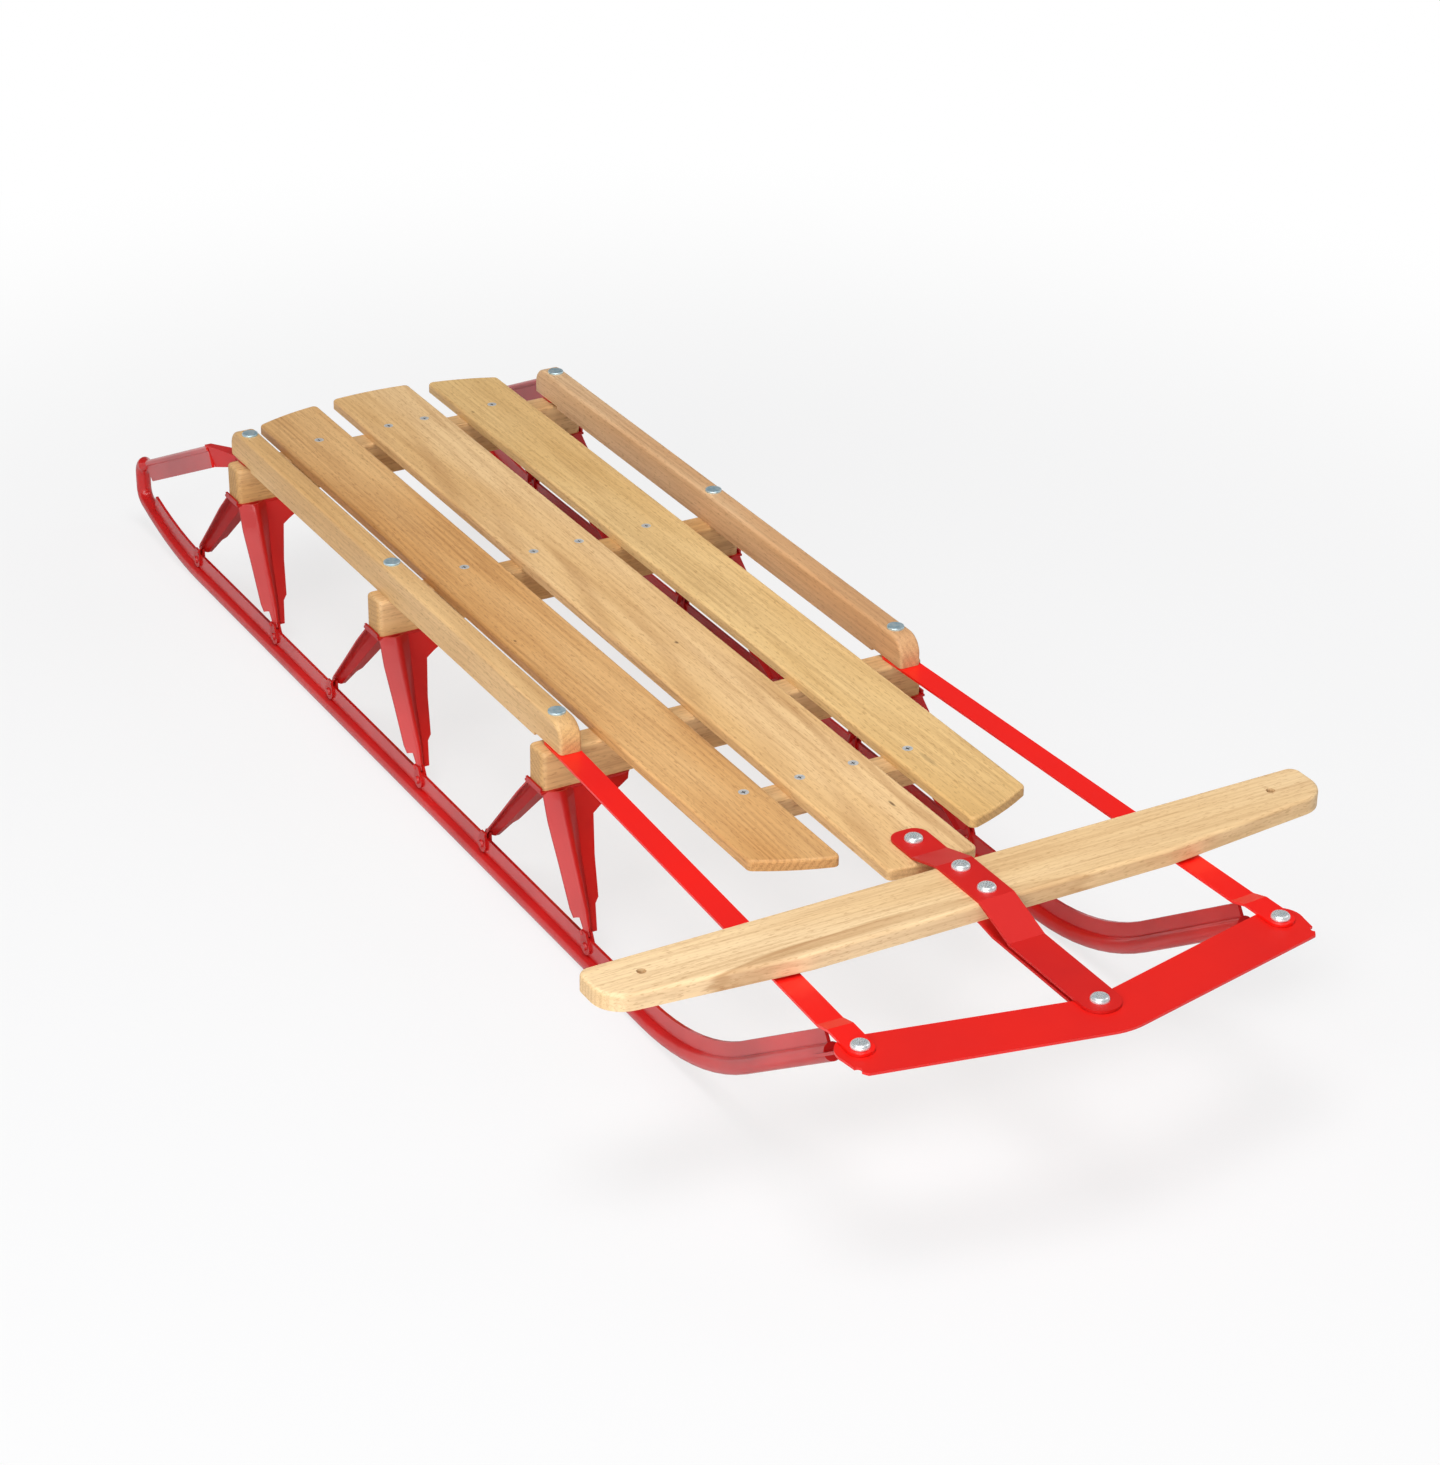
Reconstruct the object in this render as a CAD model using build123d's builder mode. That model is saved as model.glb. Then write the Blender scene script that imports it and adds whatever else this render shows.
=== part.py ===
from build123d import *
import math
import os

os.makedirs("parts", exist_ok=True)

# Frame of the sled: +X forward, +Y to its left, +Z up, runners on Z = 0.

# Places along the sled
rear_bench_x = -454.7
middle_bench_x = -159.0
front_bench_x = 137.0
front_cleat_x = 284.0
pivot_x = 406.8
bar_back = 458.3
corner_x = 616.3
nose_rivet_x = 644.2
bumper_front_x = 682.6

# Heights, and places across the sled from the benches' ends
bench_top = 148.5
bar_top = 166.5
bumper_top = 152.6
rail_inset = 19.1
runner_outset = 1.2
corner_outset = 1.0

# Cross benches and front cleat
bench_height = 31.7
bench_width = 24.5
bench_length = 341.6
bench_round = 5.0
bench_end_round = 3.0
cleat_height = 16.0
cleat_width = 24.5
cleat_length = 190.0

# Deck slats
slat_thickness = 8.6
slat_round = 2.6
middle_slat_width = 76.0
side_slat_width = 63.4
slat_gap = 17.8
slat_end_bow = 2.5
slat_corner_round = 5.0
middle_slat_rear = -534.0
middle_slat_front = 434.0
side_slat_rear_inner = -529.5
side_slat_rear_outer = -511.3
side_slat_front_inner = 399.9
side_slat_front_outer = 373.7

# Side rails
rail_width = 18.6
rail_height = 27.2
rail_round = 3.0
rail_nose_round = 16.0
rail_overhang = 24.0
rail_relief_length = 44.0

# Sheet steel
sheet = 2.0
fit_gap = 0.3
hole_gap = 0.05
end_flat = 0.5
drill_over = 4.0
pick_gap = 0.1

# Side straps
strap_width = 20.0
strap_joggle_length = 14.0
strap_end_length = 41.0
strap_slack = 1.4

# Bumper
bumper_band = 45.0
bumper_wing = 10.0
bumper_taper = 8.0
bumper_sweep = 38.6
bumper_tab_radius = 17.5
bumper_notch = 3.2
bumper_notch_back = 7.0
bumper_notch_out = 4.5
bumper_nose_round = 60.0
bumper_inner_round = 30.0

# Steering bar and plates
bar_width = 59.0
bar_length = 607.0
bar_thickness = 13.5
bar_end_width = 44.0
bar_straight = 300.0
bar_round = 3.0
bar_front_round = 24.0
bar_rear_round = 9.0
rope_hole_back = 23.0
rope_hole_inset = 38.8
rope_hole_diameter = 7.0
plate_width = 30.0
plate_bend = 17.0
plate_bend_gap = 1.75
plate_lift = 30.0
plate_land = 2.0
plate_drop = 38.0
plate_tail_round = 11.0
bar_rivet_back = 11.0
bar_rivet_pitch = 33.8

# Runners
bead_radius = 6.85
web_thickness = 2.6
web_height = 21.0
web_nose_height = 17.0
web_nose_setback = 1.0
nose_start_x = 317.0
nose_radius = 265.0
nose_angle = 34.0
nose_lead = 18.5
nose_tab_lap = 10.0
rear_start_x = -535.0
rear_radius = 425.0
rear_angle = 18.3
rear_bend_radius = 13.0
rear_heel = 14.0
rear_web_share = 0.86
arm_rim = 3.0
arm_height = 17.5
arm_neck = 9.0
arm_plate_start = 4.0
arm_plate_lead = 14.0
arm_end_back = 48.3
arm_turn_height = 8.0
runner_tab = 2.2
rear_tab_width = 18.0
rear_tab_neck = 16.0
nose_tab_width = 20.0

# Standards
stamp = 1.8
foot_reach = 88.8
foot_height = 21.3
standard_plate_length = 78.0
standard_plate_round = 9.0
standard_lip = 3.0
foot_tab_radius = 7.0
foot_tab_back = 6.2
foot_tab_neck = 7.2
ridge_round = 0.28
foot_tab_lap = 4.0
leg_foot_back = 4.7
leg_foot_rise = 1.2
shoulder_radius = 5.5
shoulder_rise = 13.7
shoulder_back = 11.3
leg_rows = (
    # share of the way down, outer edge, ridge, arch edge, flange edge, reach of the ridge
    (0.000, -1.0, -15.0, -27.0, -76.0, 7.0),
    (0.055, -0.5, -14.5, -26.0, -73.0, 8.0),
    (0.187, 1.5, -12.5, -23.0, -43.5, 8.5),
    (0.225, 2.0, -12.0, -22.0, -36.5, 8.5),
    (0.500, 3.6, -8.5, -16.0, -27.0, 8.5),
    (0.780, 5.6, -5.6, -11.0, -19.5, 8.2),
    (0.820, 5.9, -5.2, -10.2, -15.5, 8.1),
    (1.000, 4.0, -1.5, -6.0, -10.0, 6.0),
)

# Fasteners
bolt_shank = 6.0
bolt_head = 14.0
bolt_head_height = 1.8
bolt_head_round = 0.8
bolt_end = 2.0
nut_size = 10.0
nut_height = 4.5
rivet_shank = 5.6
rivet_head = 14.0
rivet_head_height = 3.2
rivet_head_rim = 0.4
rivet_tail = 10.0
rivet_tail_height = 2.0
rivet_tail_round = 1.2
foot_rivet_shank = 4.0
foot_rivet_head = 7.0
foot_rivet_height = 1.6
foot_rivet_taper = 25.0
screw_head = 8.4
screw_shank = 4.0
screw_length = 24.0
screw_half_angle = 41.0
screw_slot = 4.4
screw_slot_width = 1.1
screw_slot_depth = 1.2
cleat_screw_end = 1.0
side_screw_shift = 1.5
cleat_screw_inset = 16.0

rail_y = bench_length / 2 - rail_inset
runner_y = bench_length / 2 + runner_outset
corner_y = runner_y + corner_outset
bumper_half_width = corner_y + bumper_wing
bench_bottom = bench_top - bench_height
slat_top = bench_top + slat_thickness
rail_top = bench_top + rail_height
bar_bottom = bar_top - bar_thickness
bar_front = bar_back + bar_width
bar_rivet_xs = (bar_back + bar_rivet_back, bar_back + bar_rivet_back + bar_rivet_pitch)
rope_hole_x = bar_back + rope_hole_back
rope_hole_y = bar_length / 2 - rope_hole_inset
web_top = bead_radius + web_height
side_slat_inner = middle_slat_width / 2 + slat_gap
side_slat_outer = side_slat_inner + side_slat_width
side_slat_middle = (side_slat_inner + side_slat_outer) / 2
cleat_screw_length = slat_thickness + cleat_height - cleat_screw_end
relief = sheet + 2 * fit_gap
strap_base = bench_top + fit_gap
strap_end_base = bumper_top + fit_gap
bolt_hole = bolt_shank + 2 * hole_gap
rivet_hole = rivet_shank + 2 * hole_gap

upright = (Align.CENTER, Align.CENTER, Align.MIN)
hanging = (Align.CENTER, Align.CENTER, Align.MAX)
benches = (
    # name, x
    ("rear", rear_bench_x),
    ("middle", middle_bench_x),
    ("front", front_bench_x),
)
sides = (
    # name, sign of Y
    ("left", 1),
    ("right", -1),
)
screw_rows = (
    # carrier, x, offset on the middle slat, place on the side slats, length
    ("rear", rear_bench_x, 17.8, side_slat_middle - side_screw_shift, screw_length),
    ("middle", middle_bench_x, 21.5, side_slat_middle - side_screw_shift, screw_length),
    ("front", front_cleat_x, 23.4, side_slat_inner + cleat_screw_inset, cleat_screw_length),
)

# Cross benches
for bench_name, bench_x in benches:
    with BuildPart() as bench:
        with Locations((bench_x, 0, bench_top - bench_height / 2)):
            Box(bench_width, bench_length, bench_height)
        fillet(bench.edges().filter_by(Axis.Z), bench_round)
        end_edges = bench.faces().sort_by(Axis.Z)[-1].edges()
        end_limit = bench_length / 2 - bench_round - pick_gap
        fillet([e for e in end_edges if abs(e.center().Y) > end_limit], bench_end_round)
        with Locations((bench_x, rail_y, bench_top), (bench_x, -rail_y, bench_top)):
            Hole(bolt_hole / 2)
        for row_name, row_x, row_mid, row_side, row_depth in screw_rows:
            if row_x == bench_x:
                with Locations([(row_x, y, bench_top) for y in (row_mid, -row_mid, row_side, -row_side)]):
                    Hole(screw_shank / 2, row_depth - slat_thickness + fit_gap)
    bench.part.label = "bench_" + bench_name
    export_step(bench.part, "parts/bench_" + bench_name + ".step")

with BuildPart() as front_cleat:
    with Locations((front_cleat_x, 0, bench_top - cleat_height / 2)):
        Box(cleat_width, cleat_length, cleat_height)
    fillet(front_cleat.edges().filter_by(Axis.Z), bench_round)
    for row_name, row_x, row_mid, row_side, row_depth in screw_rows:
        if row_x == front_cleat_x:
            with Locations([(row_x, y, bench_top) for y in (row_mid, -row_mid, row_side, -row_side)]):
                Hole(screw_shank / 2, cleat_height)
front_cleat.part.label = "front_cleat"
export_step(front_cleat.part, "parts/front_cleat.step")

# Middle slat
with BuildPart() as middle_slat:
    half = middle_slat_width / 2
    with BuildSketch(Plane.XY.offset(bench_top)):
        with BuildLine():
            Line((middle_slat_rear, half), (middle_slat_front, half))
            ThreePointArc(
                (middle_slat_front, half),
                (middle_slat_front + slat_end_bow, 0),
                (middle_slat_front, -half),
            )
            Line((middle_slat_front, -half), (middle_slat_rear, -half))
            ThreePointArc(
                (middle_slat_rear, -half),
                (middle_slat_rear - slat_end_bow, 0),
                (middle_slat_rear, half),
            )
        make_face()
    extrude(amount=slat_thickness)
    fillet(middle_slat.edges().filter_by(Axis.Z), slat_corner_round)
    fillet(middle_slat.faces().sort_by(Axis.Z)[-1].edges(), slat_round)
    with Locations((pivot_x, 0, slat_top)):
        Hole(rivet_hole / 2)
    for row_name, row_x, row_mid, row_side, row_depth in screw_rows:
        with Locations((row_x, row_mid, slat_top), (row_x, -row_mid, slat_top)):
            CounterSinkHole(screw_shank / 2, screw_head / 2)
middle_slat.part.label = "slat_middle"
export_step(middle_slat.part, "parts/slat_middle.step")

# Side slats, cut back to a bow at both ends
for side_name, sign in sides:
    with BuildPart() as side_slat:
        mid_rear = (side_slat_rear_inner + side_slat_rear_outer) / 2 - slat_end_bow
        mid_front = (side_slat_front_inner + side_slat_front_outer) / 2 + slat_end_bow
        rear_in = (side_slat_rear_inner, sign * side_slat_inner)
        rear_out = (side_slat_rear_outer, sign * side_slat_outer)
        front_in = (side_slat_front_inner, sign * side_slat_inner)
        front_out = (side_slat_front_outer, sign * side_slat_outer)
        with BuildSketch(Plane.XY.offset(bench_top)):
            with BuildLine():
                Line(rear_in, front_in)
                ThreePointArc(front_in, (mid_front, sign * side_slat_middle), front_out)
                Line(front_out, rear_out)
                ThreePointArc(rear_out, (mid_rear, sign * side_slat_middle), rear_in)
            make_face()
        extrude(amount=slat_thickness)
        fillet(side_slat.edges().filter_by(Axis.Z), slat_corner_round)
        fillet(side_slat.faces().sort_by(Axis.Z)[-1].edges(), slat_round)
        for row_name, row_x, row_mid, row_side, row_depth in screw_rows:
            with Locations((row_x, sign * row_side, slat_top)):
                CounterSinkHole(screw_shank / 2, screw_head / 2)
    side_slat.part.label = "slat_" + side_name
    export_step(side_slat.part, "parts/slat_" + side_name + ".step")

# Side rails, relieved underneath where the steel tabs pass
rail_rear = rear_bench_x - rail_overhang
rail_front = front_bench_x + rail_overhang
for side_name, sign in sides:
    with BuildPart() as rail:
        with BuildSketch(Plane.XZ.offset(-sign * rail_y)):
            with BuildLine():
                Polyline(
                    (rail_rear, bench_top + relief),
                    (rail_rear, rail_top),
                    (rail_front, rail_top),
                    (rail_front, bench_top + relief),
                    (rail_front - rail_relief_length, bench_top + relief),
                    (rail_front - rail_relief_length, bench_top),
                    (rail_rear + rail_relief_length, bench_top),
                    (rail_rear + rail_relief_length, bench_top + relief),
                    close=True,
                )
            make_face()
            ends = [v for v in vertices() if abs(v.Y - rail_top) < pick_gap]
            fillet(ends, rail_nose_round)
        extrude(amount=rail_width / 2, both=True)
        outer = [
            e for e in rail.edges()
            if e.center().Z > bench_top + relief + rail_round
            and abs(abs(e.center().Y) - rail_y) > rail_width / 2 - pick_gap
        ]
        fillet(outer, rail_round)
        with Locations([(x, sign * rail_y, rail_top) for n, x in benches]):
            Hole(bolt_hole / 2)
    rail.part.label = "rail_" + side_name
    export_step(rail.part, "parts/rail_" + side_name + ".step")

# Stamped standards: a plate under the bench and two ridged legs that straddle the runner web
leg_foot = web_top + leg_foot_rise
leg_x_top = bench_width / 2
leg_x_foot = foot_reach - leg_foot_back
lip_face = bench_length / 2 + fit_gap
for bench_name, bench_x in benches:
    for side_name, sign in sides:
        with BuildPart() as standard:
            with BuildSketch(Plane.XY.offset(bench_bottom)):
                plate_start = bench_length / 2 - standard_plate_length
                plate_middle = (plate_start + lip_face + stamp) / 2
                with Locations((bench_x, sign * plate_middle)):
                    Rectangle(bench_width + 2 * stamp, lip_face + stamp - plate_start)
                inner = [v for v in vertices() if abs(v.Y) < plate_middle]
                fillet(inner, standard_plate_round)
            extrude(amount=-stamp)
            with Locations((bench_x, sign * (lip_face + stamp / 2), bench_bottom - stamp / 2)):
                Box(bench_width, stamp, standard_lip + stamp / 2, align=upright)
            for way in (1, -1):
                for share, v_out, v_ridge, v_arch, v_flange, reach in leg_rows:
                    z = bench_bottom + (leg_foot - bench_bottom) * share
                    x0 = bench_x + way * (leg_x_top + (leg_x_foot - leg_x_top) * share)
                    inset = way * stamp
                    y_out, y_ridge, y_arch, y_flange = [
                        sign * (runner_y + v) for v in (v_out, v_ridge, v_arch, v_flange)
                    ]
                    shoulder_x = x0 + way * reach * (1 - ridge_round)
                    near = (shoulder_x, y_ridge + (y_out - y_ridge) * ridge_round)
                    crown = (x0 + way * reach * (1 - ridge_round / 2), y_ridge)
                    far = (shoulder_x, y_ridge + (y_arch - y_ridge) * ridge_round)
                    with BuildSketch(Plane.XY.offset(z)):
                        with BuildLine():
                            Line((x0, y_out), near)
                            ThreePointArc(near, crown, far)
                            Polyline(far, (x0, y_arch), (x0, y_flange), (x0 - inset, y_flange))
                            Line((x0 - inset, y_flange), (x0 - inset, y_arch))
                            Line((x0 - inset, y_arch), (far[0] - inset, far[1]))
                            ThreePointArc(
                                (far[0] - inset, far[1]),
                                (crown[0] - inset, crown[1]),
                                (near[0] - inset, near[1]),
                            )
                            Polyline((near[0] - inset, near[1]), (x0 - inset, y_out), (x0, y_out))
                        make_face()
                loft(ruled=True)
                foot_x = bench_x + way * foot_reach
                # shoulder cut into the outer wall above the foot
                with Locations(Plane.XZ.offset(-sign * (runner_y + web_thickness / 2)).location):
                    with Locations((foot_x - way * shoulder_back, foot_height + shoulder_rise)):
                        Cylinder(
                            shoulder_radius, 2 * shoulder_back, mode=Mode.SUBTRACT,
                            align=hanging if sign > 0 else upright,
                        )
                tab_offset = web_thickness / 2 + hole_gap + stamp / 2
                for face_v in (tab_offset, -tab_offset):
                    with BuildSketch(Plane.XZ.offset(-sign * (runner_y + face_v))):
                        with BuildLine():
                            Polyline(
                                (foot_x - way * foot_tab_radius, foot_height),
                                (foot_x - way * foot_tab_back, leg_foot + foot_tab_lap),
                                (foot_x + way * (foot_tab_neck - foot_tab_back), leg_foot + foot_tab_lap),
                                (foot_x + way * foot_tab_radius, foot_height),
                            )
                            RadiusArc(
                                (foot_x + way * foot_tab_radius, foot_height),
                                (foot_x - way * foot_tab_radius, foot_height),
                                way * foot_tab_radius,
                            )
                        make_face()
                    extrude(amount=stamp / 2, both=True)
                with Locations(Plane.XZ.offset(-sign * runner_y).location):
                    with Locations((foot_x, foot_height)):
                        Cylinder(foot_rivet_shank / 2 + hole_gap, 2 * foot_tab_radius, mode=Mode.SUBTRACT)
            with Locations((bench_x, sign * rail_y, bench_bottom)):
                Hole(bolt_hole / 2, 2 * stamp)
        standard.part.label = "standard_" + bench_name + "_" + side_name
        export_step(standard.part, "parts/standard_" + bench_name + "_" + side_name + ".step")

# Runners: a rolled bead with a flat web along its inner side
nose_cos = math.cos(math.radians(nose_angle))
nose_sin = math.sin(math.radians(nose_angle))
nose_line = corner_x - bumper_tab_radius - nose_lead - nose_start_x - nose_radius * nose_sin
nose_run = nose_line / nose_cos
tab_top = bumper_top - sheet - fit_gap
rear_tab_base = bench_top + fit_gap / 2
arm_end = (rear_bench_x - arm_end_back, rear_tab_base + runner_tab - arm_rim)
for side_name, sign in sides:
    runner_plane = Plane.XZ.offset(-sign * runner_y)
    with BuildPart() as runner:
        with BuildLine(runner_plane) as bead_path:
            floor_line = Line((nose_start_x, bead_radius), (rear_start_x, bead_radius))
            nose_arc = CenterArc((nose_start_x, bead_radius + nose_radius), nose_radius, -90, nose_angle)
            nose_top = (
                nose_start_x + nose_radius * nose_sin + nose_run * nose_cos,
                bead_radius + nose_radius * (1 - nose_cos) + nose_run * nose_sin,
            )
            nose_foot = (nose_start_x + nose_radius * nose_sin, bead_radius + nose_radius * (1 - nose_cos))
            Line(nose_foot, nose_top)
            rear_arc = CenterArc((rear_start_x, bead_radius + rear_radius), rear_radius, -90, -rear_angle)
            rear_end = (
                rear_start_x - rear_radius * math.sin(math.radians(rear_angle)),
                bead_radius + rear_radius * (1 - math.cos(math.radians(rear_angle))),
            )
            bend_centre = (
                rear_end[0] + rear_bend_radius * math.sin(math.radians(rear_angle)),
                rear_end[1] + rear_bend_radius * math.cos(math.radians(rear_angle)),
            )
            CenterArc(bend_centre, rear_bend_radius, 270 - rear_angle, -(90 - rear_angle))
            heel_low = (bend_centre[0] - rear_bend_radius, bend_centre[1])
            heel_high = (heel_low[0], heel_low[1] + rear_heel)
            Line(heel_low, heel_high)
            heel_centre = (heel_high[0] + rear_bend_radius, heel_high[1])
            arm_reach = math.hypot(arm_end[0] - heel_centre[0], arm_end[1] - heel_centre[1])
            arm_aim = math.atan2(arm_end[1] - heel_centre[1], arm_end[0] - heel_centre[0])
            arm_angle = arm_aim - math.asin(rear_bend_radius / arm_reach)
            arm_cos = math.cos(arm_angle)
            arm_sin = math.sin(arm_angle)
            CenterArc(heel_centre, rear_bend_radius, 180, math.degrees(arm_angle) - 90)
            arm_start = (
                heel_high[0] + rear_bend_radius * (1 - arm_sin),
                heel_high[1] + rear_bend_radius * arm_cos,
            )
        bead_wire = bead_path.wires()[0]
        with BuildSketch(Plane(bead_wire.position_at(0), z_dir=bead_wire.tangent_at(0))):
            Circle(bead_radius)
        sweep(path=bead_wire)
        # flat web above the bead
        with BuildSketch(runner_plane):
            with BuildLine():
                web_angle = rear_angle * rear_web_share
                nose_centre = (nose_start_x, bead_radius + nose_radius)
                rear_centre = (rear_start_x, bead_radius + rear_radius)
                low_rear = CenterArc(rear_centre, rear_radius, -90 - web_angle, web_angle)
                Line((rear_start_x, bead_radius), (nose_start_x, bead_radius))
                low_nose = CenterArc(nose_centre, nose_radius, -90, nose_angle)
                web_run = nose_run - web_nose_setback
                web_low = (nose_foot[0] + web_run * nose_cos, nose_foot[1] + web_run * nose_sin)
                web_high = (
                    web_low[0] - web_nose_height * nose_sin,
                    web_low[1] + web_nose_height * nose_cos,
                )
                Line(nose_foot, web_low)
                Line(web_low, web_high)
                mid_turn = math.radians(nose_angle / 2)
                mid_rise = nose_radius - (web_height + web_nose_height) / 2
                mid_x = nose_start_x + mid_rise * math.sin(mid_turn)
                mid_z = nose_centre[1] - mid_rise * math.cos(mid_turn)
                high_nose = ThreePointArc(
                    (nose_start_x, web_top),
                    (mid_x, mid_z),
                    (nose_foot[0] - web_nose_height * nose_sin, nose_foot[1] + web_nose_height * nose_cos),
                )
                Line(web_high, high_nose @ 1)
                Line(high_nose @ 0, (rear_start_x, web_top))
                high_rear = CenterArc(rear_centre, rear_radius - web_height, -90 - web_angle, web_angle)
                Line(high_rear @ 0, low_rear @ 0)
            make_face()
        extrude(amount=web_thickness / 2, both=True)
        # flattened return arm with its rolled top edge
        arm_run = math.hypot(arm_end[0] - arm_start[0], arm_end[1] - arm_start[1])
        with BuildSketch(Plane(
            (arm_start[0], sign * runner_y, arm_start[1]), z_dir=(arm_cos, 0, arm_sin)
        )):
            Circle(bead_radius)
        with BuildSketch(Plane(
            (arm_start[0] + arm_neck * arm_cos, sign * runner_y, arm_start[1] + arm_neck * arm_sin),
            z_dir=(arm_cos, 0, arm_sin),
        )):
            Circle(arm_rim)
        loft()
        with BuildSketch(Plane(
            (arm_start[0], sign * runner_y, arm_start[1]), z_dir=(arm_cos, 0, arm_sin)
        )):
            Circle(arm_rim)
        extrude(amount=arm_run)
        lead = arm_plate_lead
        lead_foot = (
            arm_start[0] + lead * arm_cos + arm_height * arm_sin,
            arm_start[1] + lead * arm_sin - arm_height * arm_cos,
        )
        plate_start = (arm_start[0] + arm_plate_start * arm_cos, arm_start[1] + arm_plate_start * arm_sin)
        plate_end = (arm_end[0] + arm_height * arm_sin, arm_end[1] - arm_height * arm_cos)
        with BuildSketch(runner_plane):
            with BuildLine():
                Polyline(plate_start, arm_end, plate_end, lead_foot, close=True)
            make_face()
        extrude(amount=web_thickness / 2, both=True)
        # the arm's end turned inwards under the rail
        turn_end = (rear_bench_x - rear_tab_neck, sign * (rail_y + (rear_tab_width - web_thickness) / 2))
        turn_run = math.hypot(turn_end[0] - arm_end[0], turn_end[1] - sign * runner_y)
        turn_way = ((turn_end[0] - arm_end[0]) / turn_run, (turn_end[1] - sign * runner_y) / turn_run, 0)
        turn_side = (turn_way[1], -turn_way[0], 0)
        turn_start = (arm_end[0], sign * runner_y, arm_end[1])
        with BuildSketch(Plane(turn_start, x_dir=turn_way, z_dir=turn_side)):
            with BuildLine():
                Polyline(
                    (0, arm_rim - runner_tab / 2),
                    (turn_run, arm_rim - runner_tab / 2),
                    (turn_run, -arm_turn_height),
                    (arm_height * arm_sin, -arm_height * arm_cos),
                    close=True,
                )
            make_face()
        extrude(amount=web_thickness / 2, both=True)
        # rear tab between rail and bench
        with BuildSketch(Plane.XY.offset(rear_tab_base)):
            with BuildLine():
                Polyline(
                    (arm_end[0] - arm_rim, sign * (runner_y + arm_rim)),
                    (rear_bench_x - rear_tab_neck, sign * (rail_y + rear_tab_width / 2)),
                    (rear_bench_x + rear_tab_width / 2, sign * (rail_y + rear_tab_width / 2)),
                    (rear_bench_x + rear_tab_width / 2, sign * (rail_y - rear_tab_width / 2)),
                    (rear_bench_x - rear_tab_neck, sign * (rail_y - rear_tab_width / 2)),
                    (arm_end[0] - arm_rim, sign * (runner_y - arm_rim)),
                    close=True,
                )
            make_face()
            ends = [v for v in vertices() if v.X > rear_bench_x]
            fillet(ends, rear_tab_width / 2 - end_flat)
        extrude(amount=runner_tab)
        # nose tab under the bumper
        reach = (tab_top - runner_tab / 2 - nose_top[1]) / nose_sin
        knee = (nose_top[0] + reach * nose_cos, tab_top - runner_tab / 2)
        back = (nose_top[0] - nose_tab_lap * nose_cos, nose_top[1] - nose_tab_lap * nose_sin)
        rise = runner_tab / 2
        with BuildSketch(runner_plane):
            with BuildLine():
                Polyline(
                    (back[0] - rise * nose_sin, back[1] + rise * nose_cos),
                    (knee[0] - rise * math.tan(math.radians(nose_angle / 2)), knee[1] + rise),
                    (corner_x + nose_tab_width / 2, knee[1] + rise),
                    (corner_x + nose_tab_width / 2, knee[1] - rise),
                    (knee[0] + rise * math.tan(math.radians(nose_angle / 2)), knee[1] - rise),
                    (back[0] + rise * nose_sin, back[1] - rise * nose_cos),
                    close=True,
                )
            make_face()
        extrude(amount=nose_tab_width / 2, both=True)
        tips = [
            e for e in runner.edges().filter_by(Axis.Z)
            if e.center().X > corner_x + nose_tab_width / 2 - pick_gap
        ]
        fillet(tips, nose_tab_width / 2 - end_flat)
        with Locations((corner_x, sign * corner_y, tab_top)):
            Hole(rivet_hole / 2, runner_tab + drill_over)
        with Locations((rear_bench_x, sign * rail_y, rear_tab_base + runner_tab)):
            Hole(bolt_hole / 2, runner_tab + drill_over)
        for bench_name, bench_x in benches:
            with Locations(Plane.XZ.offset(-sign * runner_y).location):
                with Locations((bench_x + foot_reach, foot_height), (bench_x - foot_reach, foot_height)):
                    Cylinder(foot_rivet_shank / 2 + hole_gap, web_height, mode=Mode.SUBTRACT)
    runner.part.label = "runner_" + side_name
    export_step(runner.part, "parts/runner_" + side_name + ".step")

# Side straps from the front rail bolts to the bumper corners
strap_length = math.hypot(corner_x - front_bench_x, corner_y - rail_y)
strap_cos = (corner_x - front_bench_x) / strap_length
strap_sin = (corner_y - rail_y) / strap_length
for side_name, sign in sides:
    strap_start = (front_bench_x, sign * rail_y, 0)
    strap_way = (strap_cos, sign * strap_sin, 0)
    strap_side = (sign * strap_sin, -strap_cos, 0)
    with BuildPart() as strap:
        knee_back = strap_length - strap_end_length
        knee_front = knee_back + strap_joggle_length
        tip = strap_length + strap_width / 2
        with BuildSketch(Plane(strap_start, x_dir=strap_way, z_dir=strap_side)):
            with BuildLine():
                Polyline(
                    (-strap_width / 2, strap_base),
                    (knee_back, strap_base),
                    (knee_front, strap_end_base),
                    (tip, strap_end_base),
                    (tip, strap_end_base + sheet),
                    (knee_front - end_flat, strap_end_base + sheet),
                    (knee_back - end_flat, strap_base + sheet),
                    (-strap_width / 2, strap_base + sheet),
                    close=True,
                )
            make_face()
        extrude(amount=strap_width / 2, both=True)
        fillet(strap.edges().filter_by(Axis.Z), strap_width / 2 - end_flat)
        with Locations((front_bench_x, sign * rail_y, strap_base + sheet)):
            Hole(bolt_hole / 2, sheet + drill_over)
        with Locations((corner_x, sign * corner_y, strap_end_base + sheet)):
            Hole(rivet_shank / 2 + strap_slack, sheet + drill_over)
    strap.part.label = "side_strap_" + side_name
    export_step(strap.part, "parts/side_strap_" + side_name + ".step")

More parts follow.
